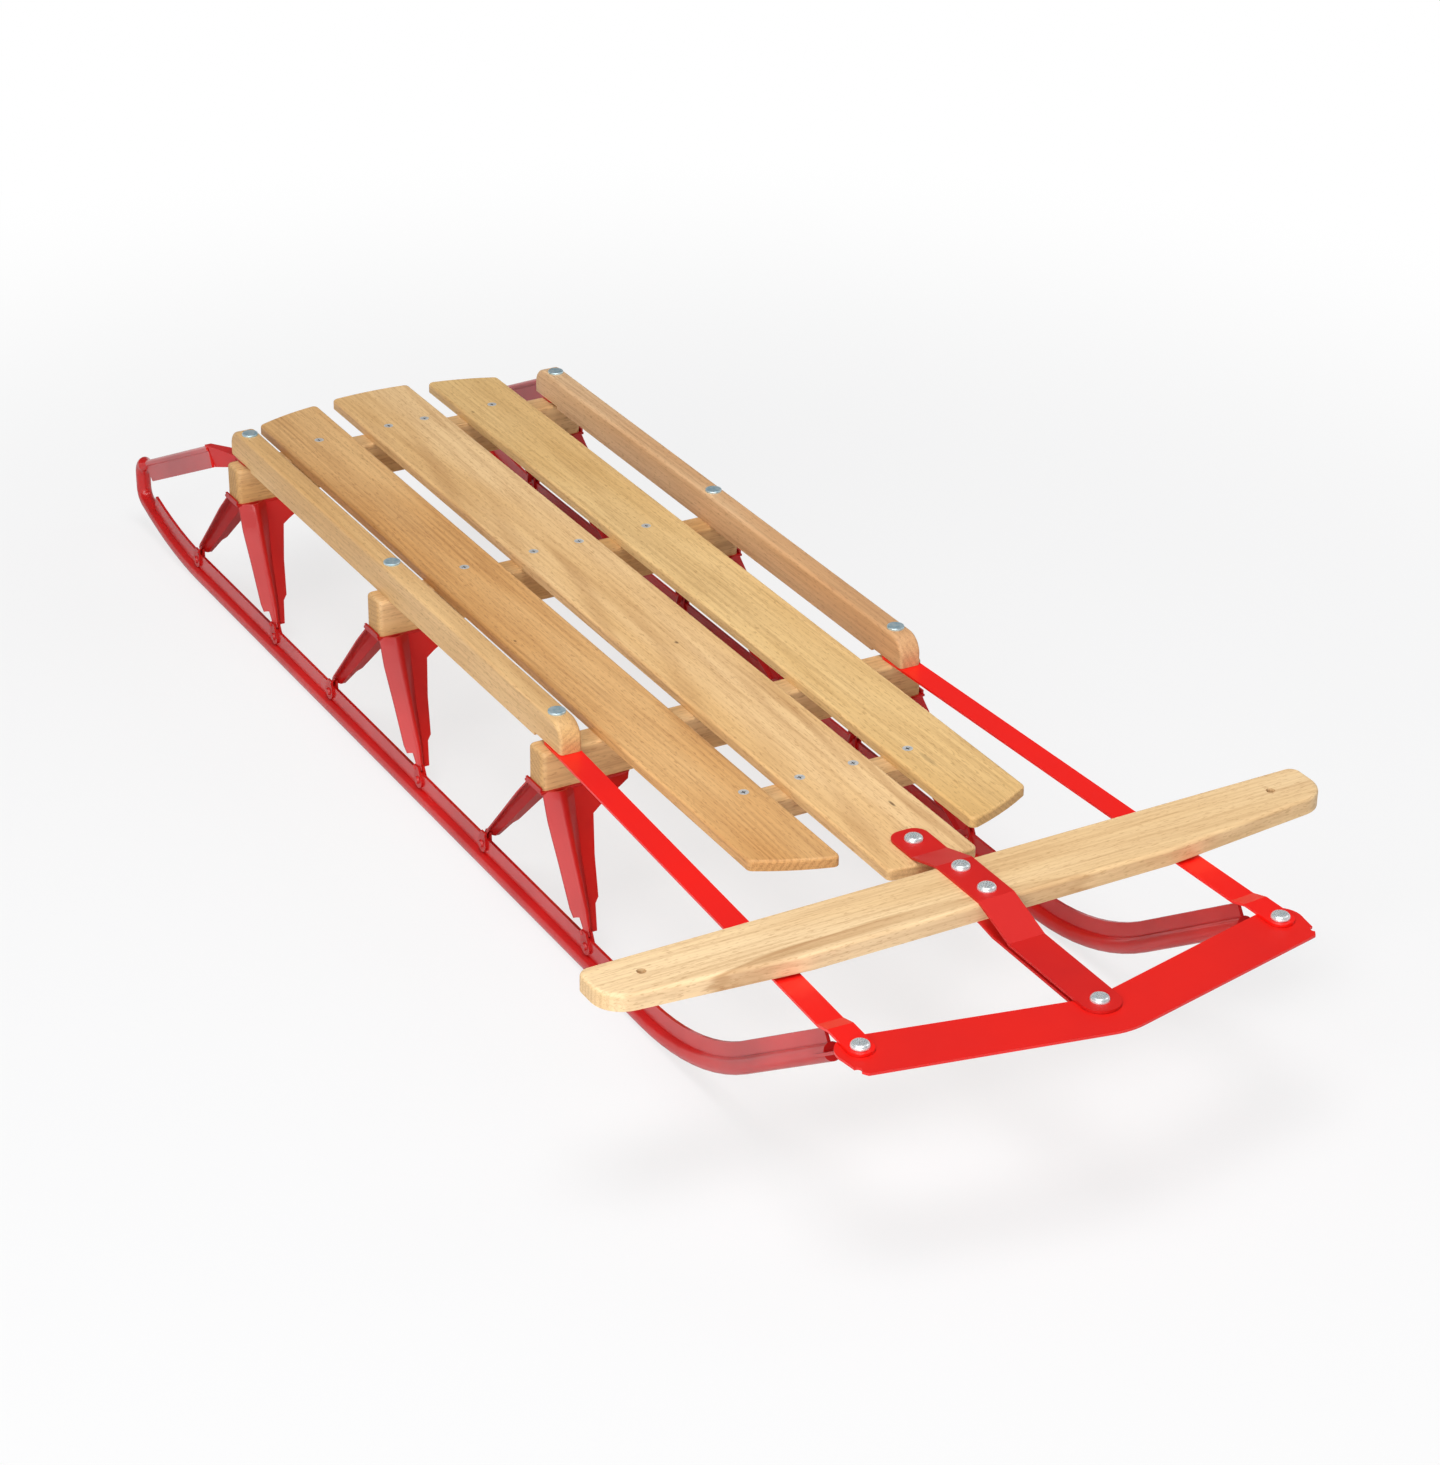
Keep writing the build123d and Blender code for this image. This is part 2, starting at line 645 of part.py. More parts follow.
# Bumper, a swept flat band
with BuildPart() as bumper:
    front_corner_x = bumper_front_x - bumper_sweep
    with BuildSketch(Plane.XY.offset(bumper_top)):
        with BuildLine():
            Polyline(
                (front_corner_x, bumper_half_width),
                (bumper_front_x, 0),
                (front_corner_x, -bumper_half_width),
                (front_corner_x - bumper_band, bumper_taper - bumper_half_width),
                (bumper_front_x - bumper_band, 0),
                (front_corner_x - bumper_band, bumper_half_width - bumper_taper),
                close=True,
            )
        make_face()
        fillet(vertices().sort_by(Axis.X)[-1], bumper_nose_round)
        fillet([v for v in vertices() if abs(v.Y) < pick_gap and v.X < nose_rivet_x], bumper_inner_round)
        for side_name, sign in sides:
            with Locations((corner_x, sign * corner_y)):
                Circle(bumper_tab_radius)
            with BuildLine():
                Polyline(
                    (corner_x, sign * corner_y),
                    (corner_x, sign * (corner_y + bumper_tab_radius)),
                    (front_corner_x - bumper_notch_back, sign * (bumper_half_width + bumper_notch_out)),
                    (front_corner_x, sign * bumper_half_width),
                    (front_corner_x, sign * corner_y),
                    close=True,
                )
            make_face()
        with Locations(
            (front_corner_x - bumper_notch_back, bumper_half_width + bumper_notch_out),
            (front_corner_x - bumper_notch_back, -bumper_half_width - bumper_notch_out),
        ):
            Circle(bumper_notch, mode=Mode.SUBTRACT)
    extrude(amount=-sheet)
    bumper_rivets = ((nose_rivet_x, 0), (corner_x, corner_y), (corner_x, -corner_y))
    with Locations([(x, y, bumper_top) for x, y in bumper_rivets]):
        Hole(rivet_hole / 2)
bumper.part.label = "bumper"
export_step(bumper.part, "parts/bumper.step")

# Steering bar
with BuildPart() as bar:
    with BuildSketch(Plane.XY.offset(bar_bottom)):
        with BuildLine():
            Polyline(
                (bar_back, -bar_length / 2),
                (bar_back, bar_length / 2),
                (bar_back + bar_end_width, bar_length / 2),
                (bar_front, bar_straight / 2),
                (bar_front, -bar_straight / 2),
                (bar_back + bar_end_width, -bar_length / 2),
                close=True,
            )
        make_face()
        tips = [v for v in vertices() if abs(v.Y) > bar_length / 2 - pick_gap]
        fillet([v for v in tips if v.X > bar_back + pick_gap], bar_front_round)
        fillet([v for v in vertices() if v.X < bar_back + pick_gap], bar_rear_round)
    extrude(amount=bar_thickness)
    fillet(bar.faces().sort_by(Axis.Z)[-1].edges(), bar_round)
    with Locations((rope_hole_x, rope_hole_y, bar_top), (rope_hole_x, -rope_hole_y, bar_top)):
        Hole(rope_hole_diameter / 2)
    with Locations([(x, 0, bar_top) for x in bar_rivet_xs]):
        Hole(rivet_hole / 2)
bar.part.label = "steering_bar"
export_step(bar.part, "parts/steering_bar.step")

# Steering plates above and below the bar
slat_front_edge = middle_slat_front + slat_end_bow
upper_levels = (slat_top + fit_gap, bar_top, bumper_top + fit_gap)
lower_levels = (bench_top - fit_gap - sheet, bar_bottom - sheet, bumper_top - sheet - fit_gap - sheet)
upper_lift = bar_back - plate_lift
lower_lift = slat_front_edge + plate_bend_gap
upper_land = bar_back + plate_land
upper_leave = bar_front - plate_land
plate_rows = (
    # name, levels, lifts off the slat, lands on the bar, leaves the bar, lands on the bumper
    ("upper", upper_levels, upper_lift, upper_land, upper_leave, bar_front + plate_drop),
    ("lower", lower_levels, lower_lift, lower_lift + plate_bend, bar_front, bar_front + plate_bend),
)
for plate_name, levels, lift_x, land_x, leave_x, drop_x in plate_rows:
    with BuildPart() as plate:
        start = pivot_x - plate_width / 2
        finish = nose_rivet_x + plate_width / 2
        bends = (
            (start, levels[0]),
            (lift_x, levels[0]),
            (land_x, levels[1]),
            (leave_x, levels[1]),
            (drop_x, levels[2]),
            (finish, levels[2]),
        )
        with BuildSketch(Plane.XZ):
            with BuildLine():
                Polyline(*bends, *[(x, z + sheet) for x, z in reversed(bends)], close=True)
            make_face()
        extrude(amount=plate_width / 2, both=True)
        fillet(plate.edges().filter_by(Axis.Z).sort_by(Axis.X)[-2:], plate_width / 2 - end_flat)
        fillet(plate.edges().filter_by(Axis.Z).sort_by(Axis.X)[:2], plate_tail_round)
        with Locations([(x, 0, bar_top + plate_width) for x in (pivot_x, *bar_rivet_xs, nose_rivet_x)]):
            Hole(rivet_hole / 2)
    plate.part.label = "steering_plate_" + plate_name
    export_step(plate.part, "parts/steering_plate_" + plate_name + ".step")

# Dome rivets
corner_head_base = strap_end_base + sheet + fit_gap
corner_tail_top = tab_top - runner_tab - fit_gap
rivets = (
    # name, x, y, underside of the top head, top of the lower head
    ("pivot_rivet", pivot_x, 0, upper_levels[0] + sheet + hole_gap, lower_levels[0] - hole_gap),
    ("bar_rivet_rear", bar_rivet_xs[0], 0, upper_levels[1] + sheet, lower_levels[1]),
    ("bar_rivet_front", bar_rivet_xs[1], 0, upper_levels[1] + sheet, lower_levels[1]),
    ("nose_rivet", nose_rivet_x, 0, upper_levels[2] + sheet, lower_levels[2]),
    ("corner_rivet_left", corner_x, corner_y, corner_head_base, corner_tail_top),
    ("corner_rivet_right", corner_x, -corner_y, corner_head_base, corner_tail_top),
)
for rivet_name, rivet_x, rivet_y, head_base, tail_top in rivets:
    with BuildPart() as rivet:
        with Locations((rivet_x, rivet_y, head_base)):
            Cylinder(rivet_head / 2, rivet_head_height, align=upright)
        fillet(rivet.faces().sort_by(Axis.Z)[-1].edges(), rivet_head_height - rivet_head_rim)
        with Locations((rivet_x, rivet_y, tail_top)):
            Cylinder(rivet_shank / 2, head_base - tail_top, align=upright)
        with Locations((rivet_x, rivet_y, tail_top)):
            Cylinder(rivet_tail / 2, rivet_tail_height, align=hanging)
        fillet(rivet.faces().sort_by(Axis.Z)[0].edges(), rivet_tail_round)
    rivet.part.label = rivet_name
    export_step(rivet.part, "parts/" + rivet_name + ".step")

# Rail bolts with nuts under the standards
for bench_name, bench_x in benches:
    for side_name, sign in sides:
        with BuildPart() as bolt:
            with Locations((bench_x, sign * rail_y, rail_top)):
                Cylinder(bolt_head / 2, bolt_head_height, align=upright)
            fillet(bolt.faces().sort_by(Axis.Z)[-1].edges(), bolt_head_round)
            nut_top = bench_bottom - stamp
            bolt_tip = nut_top - nut_height - bolt_end
            with Locations((bench_x, sign * rail_y, bolt_tip)):
                Cylinder(bolt_shank / 2, rail_top - bolt_tip, align=upright)
            with BuildSketch(Plane.XY.offset(nut_top)):
                with Locations((bench_x, sign * rail_y)):
                    RegularPolygon(nut_size / 2, 6, major_radius=False)
            extrude(amount=-nut_height)
        bolt.part.label = "rail_bolt_" + bench_name + "_" + side_name
        export_step(bolt.part, "parts/rail_bolt_" + bench_name + "_" + side_name + ".step")

# Rivets through the standards' feet
foot_face = web_thickness / 2 + hole_gap + stamp
for bench_name, bench_x in benches:
    for side_name, sign in sides:
        for way_name, way in (("fore", 1), ("aft", -1)):
            with BuildPart() as foot_rivet:
                foot_x = bench_x + way * foot_reach
                foot_start = (foot_x, sign * (runner_y - foot_face), foot_height)
                foot_plane = Plane(foot_start, z_dir=(0, sign, 0))
                with BuildSketch(foot_plane):
                    Circle(foot_rivet_shank / 2)
                extrude(amount=2 * foot_face)
                with BuildSketch(foot_plane):
                    Circle(foot_rivet_head / 2)
                extrude(amount=-foot_rivet_height, taper=foot_rivet_taper)
                with BuildSketch(foot_plane.offset(2 * foot_face)):
                    Circle(foot_rivet_head / 2)
                extrude(amount=foot_rivet_height, taper=foot_rivet_taper)
            name = "foot_rivet_" + bench_name + "_" + side_name + "_" + way_name
            foot_rivet.part.label = name
            export_step(foot_rivet.part, "parts/" + name + ".step")

# Countersunk deck screws
screw_cone = (screw_head - screw_shank) / 2 / math.tan(math.radians(screw_half_angle))
for row_name, row_x, row_mid, row_side, row_depth in screw_rows:
    for place_name, screw_y in (
        ("left", row_side), ("middle_left", row_mid), ("middle_right", -row_mid), ("right", -row_side)
    ):
        with BuildPart() as screw:
            shank = screw_shank / 2 - hole_gap
            with Locations((row_x, screw_y, slat_top - screw_cone)):
                Cone(shank, screw_head / 2 - hole_gap, screw_cone - hole_gap, align=upright)
            with Locations((row_x, screw_y, slat_top - row_depth)):
                Cylinder(shank, row_depth - screw_cone, align=upright)
            with Locations((row_x, screw_y, slat_top - hole_gap)):
                Box(screw_slot, screw_slot_width, screw_slot_depth, align=hanging, mode=Mode.SUBTRACT)
                Box(screw_slot_width, screw_slot, screw_slot_depth, align=hanging, mode=Mode.SUBTRACT)
        name = "deck_screw_" + row_name + "_" + place_name
        screw.part.label = name
        export_step(screw.part, "parts/" + name + ".step")
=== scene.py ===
import math

import bmesh
import bpy
from mathutils import Matrix, Vector


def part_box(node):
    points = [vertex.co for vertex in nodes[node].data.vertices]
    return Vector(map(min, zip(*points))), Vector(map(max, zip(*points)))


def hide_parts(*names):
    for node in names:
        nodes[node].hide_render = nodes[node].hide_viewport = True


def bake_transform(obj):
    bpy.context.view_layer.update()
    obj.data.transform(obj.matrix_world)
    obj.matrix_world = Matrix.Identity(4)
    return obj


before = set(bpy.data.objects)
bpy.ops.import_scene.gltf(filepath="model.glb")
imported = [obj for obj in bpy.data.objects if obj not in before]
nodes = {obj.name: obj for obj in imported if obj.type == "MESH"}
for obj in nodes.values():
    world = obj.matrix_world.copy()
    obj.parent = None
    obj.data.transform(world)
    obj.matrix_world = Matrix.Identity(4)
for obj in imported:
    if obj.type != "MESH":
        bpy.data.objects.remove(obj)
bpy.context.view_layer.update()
scene = bpy.context.scene

# Photograph's camera, in the sled's frame
photo_width = 1440
photo_height = 1465
camera_place = (2.3514, -1.2781, 1.4963)
camera_azimuth = 60.17
camera_elevation = 28.31
camera_roll = 0.77
focal_pixels = 3693.2
sensor = 36.0
farthest_seen = 60.0

# Stretch of the runners that flexes when the sled is steered, as a share of the strap's length, and its cuts
flex_start_share = 0.19
flex_step = 0.012
cut_tolerance = 1e-6
# Hole for the corner rivet in a runner's tab: what lies within its wall, and its slack for the steering
rivet_hole_reach = 0.0040
rivet_hole_slack = 0.0014

# Layers of the grain: scale along the board, scale across it, detail, roughness
grain = {
    "tone": (1.7, 11.0, 3.0, 0.5),
    "cloud": (5.0, 42.0, 3.0, 0.5),
    "sway": (2.2, 9.0, 2.0, 0.5),
    "clear": (3.4, 24.0, 2.0, 0.5),
    "bands": (1.1, 70.0, 2.0, 0.5),
    "fibres": (11.0, 430.0, 4.0, 0.6),
    "flecks": (150.0, 950.0, 1.0, 0.5),
    "fray": (14.0, 260.0, 2.0, 0.5),
}
# Values of a layer's noise where it starts to show and where it shows in full
shows = {
    "tone": (0.36, 0.64),
    "cloud": (0.45, 0.72),
    "clear": (0.40, 0.66),
    "bands": (0.56, 0.74),
    "fibres": (0.38, 0.75),
    "flecks": (0.58, 0.70),
}
noise_middle = 0.5
# How far each layer goes towards the dark tone
cloud_share = 0.16
band_share = 0.22
fibre_share = 0.34
fleck_share = 0.36
# Growth rings: distance from one to the next, how far they stray, and their share where they show least
ring_pitch = 0.0042
ring_sway = 0.030
least_ring_show = 0.25

# Heartwood lines: place across the board where the line turns, where that is along it, bend,
# first and last place along it, how far the brown goes, and depth of tone
veins = {
    "steering_bar": (0.5015, -0.095, 0.55, -0.40, 0.16, 0.014, 0.85),
    "slat_middle": (0.0222, -0.100, 0.02, 0.05, 0.60, 0.008, 0.42),
}
# Small knots: place along the board, place across it, radius, drawn out along the grain, depth of tone
knots = {
    "slat_middle": ((0.0458, 0.0027, 0.0019, 0.6, 0.75), (0.3512, 0.0161, 0.0016, 0.25, 0.8)),
    "slat_right": ((-0.0173, -0.1101, 0.0015, 0.6, 0.7),),
    "slat_left": ((0.3057, 0.0763, 0.0034, 0.2, 0.3), (-0.4467, 0.0629, 0.0016, 0.5, 0.5)),
}


class Graph:
    """A material's node tree, with short calls for the nodes used here."""

    def __init__(self, name):
        self.material = bpy.data.materials.new(name)
        self.material.use_nodes = True
        self.tree = self.material.node_tree
        self.shader = self.tree.nodes["Principled BSDF"]

    def node(self, kind, **settings):
        made = self.tree.nodes.new(kind)
        for key, value in settings.items():
            setattr(made, key, value)
        return made

    def feed(self, socket, value):
        if hasattr(value, "is_linked"):
            self.tree.links.new(value, socket)
        else:
            socket.default_value = value

    def fix(self, **constants):
        """Set the shader's sockets to plain values, each named with underscores for spaces."""
        for key, value in constants.items():
            self.shader.inputs[key.replace("_", " ")].default_value = value

    def math(self, operation, a, b=0.0, clamp=False):
        made = self.node("ShaderNodeMath", operation=operation, use_clamp=clamp)
        self.feed(made.inputs[0], a)
        self.feed(made.inputs[1], b)
        return made.outputs[0]

    def spread(self, value, low, high, to_low=0.0, to_high=1.0):
        """A smooth step from to_low to to_high while the value goes from low to high."""
        made = self.node("ShaderNodeMapRange", interpolation_type="SMOOTHSTEP")
        self.feed(made.inputs["Value"], value)
        limits = {"From Min": low, "From Max": high, "To Min": to_low, "To Max": to_high}
        for key, number in limits.items():
            made.inputs[key].default_value = number
        return made.outputs["Result"]

    def mix(self, share, a, b):
        made = self.node("ShaderNodeMix", data_type="RGBA")
        self.feed(made.inputs["Factor"], share)
        self.feed(made.inputs[6], a)
        self.feed(made.inputs[7], b)
        return made.outputs[2]

    def vector(self, x, y, z):
        made = self.node("ShaderNodeCombineXYZ")
        for socket, value in zip(made.inputs, (x, y, z)):
            self.feed(socket, value)
        return made.outputs[0]

    def noise(self, vector, scale=1.0, detail=3.0, rough=0.5):
        made = self.node("ShaderNodeTexNoise")
        self.feed(made.inputs["Vector"], vector)
        made.inputs["Scale"].default_value = scale
        made.inputs["Detail"].default_value = detail
        made.inputs["Roughness"].default_value = rough
        return made.outputs["Fac"]

    def stretched(self, run, side, rise, layer):
        """Noise drawn out along the grain, with the scales that the grain table gives the layer."""
        along, across, detail, rough = grain[layer]
        place = self.vector(
            self.math("MULTIPLY", run, along),
            self.math("MULTIPLY", side, across),
            self.math("MULTIPLY", rise, across),
        )
        return self.noise(place, detail=detail, rough=rough)

    def distance(self, x, y):
        squares = self.math("ADD", self.math("MULTIPLY", x, x), self.math("MULTIPLY", y, y))
        return self.math("SQRT", squares)

    def bump(self, height, strength, distance):
        made = self.node("ShaderNodeBump")
        made.inputs["Strength"].default_value = strength
        made.inputs["Distance"].default_value = distance
        self.feed(made.inputs["Height"], height)
        self.feed(self.shader.inputs["Normal"], made.outputs["Normal"])

    def place(self):
        """The point on the piece, its three coordinates and the three parts of the surface's direction."""
        made = self.node("ShaderNodeTexCoord")
        parts = self.node("ShaderNodeSeparateXYZ")
        self.feed(parts.inputs[0], made.outputs["Object"])
        facing = self.node("ShaderNodeSeparateXYZ")
        self.feed(facing.inputs[0], made.outputs["Normal"])
        return made.outputs["Object"], parts.outputs, facing.outputs


def rgb(red, green, blue):
    """A colour given as it looks on screen, 0 to 255, turned into the shader's linear values."""
    shares = (red / 255, green / 255, blue / 255)
    linear = [share / 12.92 if share <= 0.04045 else ((share + 0.055) / 1.055) ** 2.4 for share in shares]
    return (*linear, 1.0)


def heartwood(g, node, parts, along, fray, cloud):
    """How far a heartwood line, thin and dark with a brown zone on one side, covers the board's own tone."""
    base, turn, bend, first, last, brown, strength = veins[node]
    fray_width = 0.006
    line_edge = 0.0024
    line_core = 0.0002
    zone_start = -0.001
    zone_full = 0.003
    fade = 0.08
    past = g.math("SUBTRACT", parts[along], turn)
    line = g.math("ADD", base, g.math("MULTIPLY", g.math("MULTIPLY", past, past), bend))
    strayed = g.math("MULTIPLY", g.math("SUBTRACT", fray, noise_middle), fray_width)
    offset = g.math("ADD", g.math("SUBTRACT", parts[1 - along], line), strayed)
    thin = g.spread(g.math("ABSOLUTE", offset), line_edge, line_core)
    zone = g.math("MULTIPLY", g.spread(offset, zone_start, zone_full), g.spread(offset, brown, 0.3 * brown))
    cover = g.math("ADD", g.math("MULTIPLY", thin, 0.6), g.math("MULTIPLY", zone, 0.5))
    cover = g.math("MULTIPLY", cover, g.spread(cloud, 0.3, 0.6, 0.45 * strength, strength))
    fade_in = g.spread(parts[along], first, first + fade)
    fade_out = g.spread(parts[along], last, last - fade)
    return g.math("MULTIPLY", cover, g.math("MULTIPLY", fade_in, fade_out))


def knotted(g, node, parts, along, body):
    """The board's tone with its small knots, if it has any."""
    for knot_run, knot_side, radius, drawn, strength in knots.get(node, ()):
        off_run = g.math("MULTIPLY", g.math("SUBTRACT", parts[along], knot_run), drawn)
        off_side = g.math("SUBTRACT", parts[1 - along], knot_side)
        mark = g.spread(g.distance(off_run, off_side), radius, 0.3 * radius)
        body = g.mix(g.math("MULTIPLY", mark, strength), body, knot_tone)
    return body


def end_grain(g, where, rings, honey, dark):
    """Tone where the saw crossed the fibres: dark pores, and the rings."""
    pore_scale = 900.0
    pore_share = 0.6
    ring_share = 0.25
    pores = g.noise(where, scale=pore_scale, detail=2.0)
    tone = g.mix(g.spread(pores, 0.4, 0.8, 0.0, pore_share), honey, dark)
    return g.mix(g.math("MULTIPLY", rings, ring_share), tone, dark)


def wood(node, along, seed, pale, honey, dark, heart, slope, figure):
    """Varnished beech sawn along one axis: broad tones, faint rings, fibres, short flecks and end grain."""
    g = Graph("beech_" + node)
    where, parts, facing = g.place()
    run = g.math("ADD", parts[along], seed * 1.7)
    side = g.math("ADD", parts[1 - along], seed * 0.013)
    rise = parts[2]
    # broad tones of the board
    tone = g.stretched(run, side, rise, "tone")
    body = g.mix(g.spread(tone, *shows["tone"]), pale, honey)
    cloud = g.stretched(run, side, rise, "cloud")
    body = g.mix(g.spread(cloud, *shows["cloud"], 0.0, cloud_share), body, dark)
    # growth rings, which show in some stretches more than in others
    sway = g.math("SUBTRACT", g.stretched(run, side, rise, "sway"), noise_middle)
    bent = g.math("ADD", side, g.math("MULTIPLY", sway, ring_sway))
    depth = g.math("ADD", rise, g.math("ADD", g.math("MULTIPLY", run, slope), heart))
    ring = g.math("MULTIPLY", g.distance(bent, depth), 2 * math.pi / ring_pitch)
    rings = g.spread(g.math("SINE", ring), -0.3, 1.0)
    clear = g.spread(g.stretched(run, side, rise, "clear"), *shows["clear"], least_ring_show, 1.0)
    body = g.mix(g.math("MULTIPLY", g.math("MULTIPLY", rings, clear), figure), body, dark)
    # long bands, fibres and the short flecks of beech
    bands = g.spread(g.stretched(run, bent, rise, "bands"), *shows["bands"])
    body = g.mix(g.math("MULTIPLY", bands, band_share), body, dark)
    fibres = g.stretched(run, side, rise, "fibres")
    body = g.mix(g.math("MULTIPLY", g.spread(fibres, *shows["fibres"]), fibre_share), body, dark)
    flecks = g.spread(g.stretched(run, side, rise, "flecks"), *shows["flecks"])
    body = g.mix(g.math("MULTIPLY", flecks, fleck_share), body, dark)
    if node in veins:
        fray = g.stretched(run, side, rise, "fray")
        body = g.mix(heartwood(g, node, parts, along, fray, cloud), body, dark)
    body = knotted(g, node, parts, along, body)
    # end grain goes over the board's tone on the faces that look along the grain
    end_share = 0.75
    ends = g.spread(g.math("ABSOLUTE", facing[along]), 0.55, 0.92)
    end_tone = end_grain(g, where, rings, honey, dark)
    g.feed(g.shader.inputs["Base Color"], g.mix(g.math("MULTIPLY", ends, end_share), body, end_tone))
    # satin varnish, duller on fibres and end grain
    least_rough = 0.42
    fibre_rough = 0.16
    end_rough = 0.15
    rough = g.math("ADD", g.math("MULTIPLY", fibres, fibre_rough), least_rough)
    g.feed(g.shader.inputs["Roughness"], g.math("ADD", rough, g.math("MULTIPLY", ends, end_rough)))
    g.fix(Specular_IOR_Level=0.25, Coat_Weight=0.08, Coat_Roughness=0.30)
    relief = g.math("SUBTRACT", fibres, g.math("MULTIPLY", flecks, 0.8))
    g.bump(relief, strength=0.22, distance=0.0004)
    return g.material


def enamel(name, base, deep, seed, rough, coat):
    """Gloss paint on sheet steel: orange peel, slow waves in the sheet and small tone changes."""
    cloud_scale = 9.0 + seed
    speck_scale = 420.0
    speck_share = 0.25
    peel_scale = 620.0
    peel_share = 0.12
    wave_scale = 26.0
    rough_change = 0.05
    g = Graph(name)
    where = g.place()[0]
    cloud = g.noise(where, scale=cloud_scale, detail=3.0)
    specks = g.spread(g.noise(where, scale=speck_scale, detail=1.0), 0.70, 0.78)
    tone = g.mix(g.spread(cloud, 0.3, 0.75), base, deep)
    g.feed(g.shader.inputs["Base Color"], g.mix(g.math("MULTIPLY", specks, speck_share), tone, deep))
    gloss = g.spread(cloud, 0.2, 0.8, rough - rough_change, rough + rough_change)
    g.feed(g.shader.inputs["Roughness"], gloss)
    g.fix(Specular_IOR_Level=0.4, Coat_Weight=coat, Coat_IOR=1.5, Coat_Roughness=0.10)
    peel = g.noise(where, scale=peel_scale, detail=2.0)
    waves = g.noise(where, scale=wave_scale, detail=1.0)
    g.bump(g.math("ADD", g.math("MULTIPLY", peel, peel_share), waves), strength=0.10, distance=0.0012)
    return g.material


def plated(name, base, tint, rough, metal, recess_top=None):
    """Bright plated steel with faint cloudy tints and turning marks, and painted shade below a recessed
    head's top.
    """
    cloud_scale = 260.0
    mark_scale = 1500.0
    # Depths below the head's top where the painted shade in the recess starts and where it is full
    recess_shade_start = 0.0003
    recess_shade_full = 0.0009
    g = Graph(name)
    where, parts = g.place()[:2]
    cloud = g.noise(where, scale=cloud_scale, detail=3.0)
    marks = g.noise(where, scale=mark_scale, detail=2.0)
    tone = g.mix(g.spread(cloud, 0.35, 0.7), base, tint)
    # Painted shade: the tone goes dark below the head's top, where the recess lies in shade
    if recess_top:
        recess_shade_share = g.spread(parts[2], recess_top - recess_shade_start, recess_top - recess_shade_full)
        tone = g.mix(recess_shade_share, tone, painted_recess_shade)
    g.feed(g.shader.inputs["Base Color"], tone)
    g.feed(g.shader.inputs["Roughness"], g.spread(marks, 0.2, 0.8, rough - 0.06, rough + 0.1))
    g.fix(Metallic=metal)
    g.bump(marks, strength=0.15, distance=0.0002)
    return g.material


def pale_floor():
    """A matt floor that keeps the sled's shadow and goes over to plain white further out."""
    white_start = 0.6
    white_full = 1.6
    near_white = 0.74
    g = Graph("pale_floor")
    parts = g.place()[1]
    g.fix(Base_Color=rgb(226, 226, 228), Roughness=0.9, Specular_IOR_Level=0.1)
    path = g.node("ShaderNodeLightPath").outputs
    far = g.distance(parts[0], parts[1])
    mirrored = g.math("ADD", path["Is Glossy Ray"], path["Is Transmission Ray"], clamp=True)
    white = g.math(
        "ADD",
        g.math("MULTIPLY", path["Is Camera Ray"], g.spread(far, white_start, white_full, near_white, 1.0)),
        g.math("MULTIPLY", mirrored, g.spread(far, white_start, white_full)),
    )
    glow = g.node("ShaderNodeEmission")
    blend = g.node("ShaderNodeMixShader")
    g.feed(blend.inputs["Fac"], white)
    g.feed(blend.inputs[1], g.shader.outputs["BSDF"])
    g.feed(blend.inputs[2], glow.outputs["Emission"])
    g.feed(g.tree.nodes["Material Output"].inputs["Surface"], blend.outputs["Shader"])
    return g.material


def paint(piece, material):
    piece.data.materials.clear()
    piece.data.materials.append(material)


knot_tone = rgb(88, 52, 28)
# Dark tone of the painted shade in a screw head's recess
painted_recess_shade = rgb(70, 66, 62)
# Wood tones: pale, honey, dark
tones = {
    "orange": (rgb(234, 190, 132), rgb(220, 166, 104), rgb(148, 90, 42)),
    "light": (rgb(246, 210, 158), rgb(232, 189, 130), rgb(164, 108, 58)),
    "tan": (rgb(242, 206, 146), rgb(226, 184, 120), rgb(156, 106, 54)),
    "rail": (rgb(234, 196, 142), rgb(220, 176, 118), rgb(152, 102, 58)),
    "rosy": (rgb(232, 194, 150), rgb(218, 170, 122), rgb(150, 98, 62)),
    "bench": (rgb(226, 188, 138), rgb(208, 163, 106), rgb(142, 92, 48)),
    "bar": (rgb(246, 216, 170), rgb(236, 201, 150), rgb(170, 116, 64)),
}
wood_table = (
    # node, grain axis, seed, tones, heart depth, slope, show of the rings
    ("slat_right", 0, 1.3, "orange", -0.120, 0.012, 0.28),
    ("slat_middle", 0, 4.1, "light", -0.105, 0.030, 0.26),
    ("slat_left", 0, 7.7, "tan", -0.090, 0.008, 0.10),
    ("rail_left", 0, 2.9, "rosy", -0.130, 0.010, 0.10),
    ("rail_right", 0, 5.6, "rail", -0.140, 0.014, 0.10),
    ("bench_rear", 1, 3.3, "bench", -0.100, 0.030, 0.14),
    ("bench_middle", 1, 6.2, "bench", -0.095, 0.035, 0.14),
    ("bench_front", 1, 8.4, "bench", -0.105, 0.030, 0.14),
    ("front_cleat", 1, 9.1, "bench", -0.100, 0.030, 0.14),
    ("steering_bar", 1, 0.6, "bar", -0.125, 0.022, 0.14),
)
for node, along, seed, tone_name, heart, slope, figure in wood_table:
    paint(nodes[node], wood(node, along, seed, *tones[tone_name], heart, slope, figure))

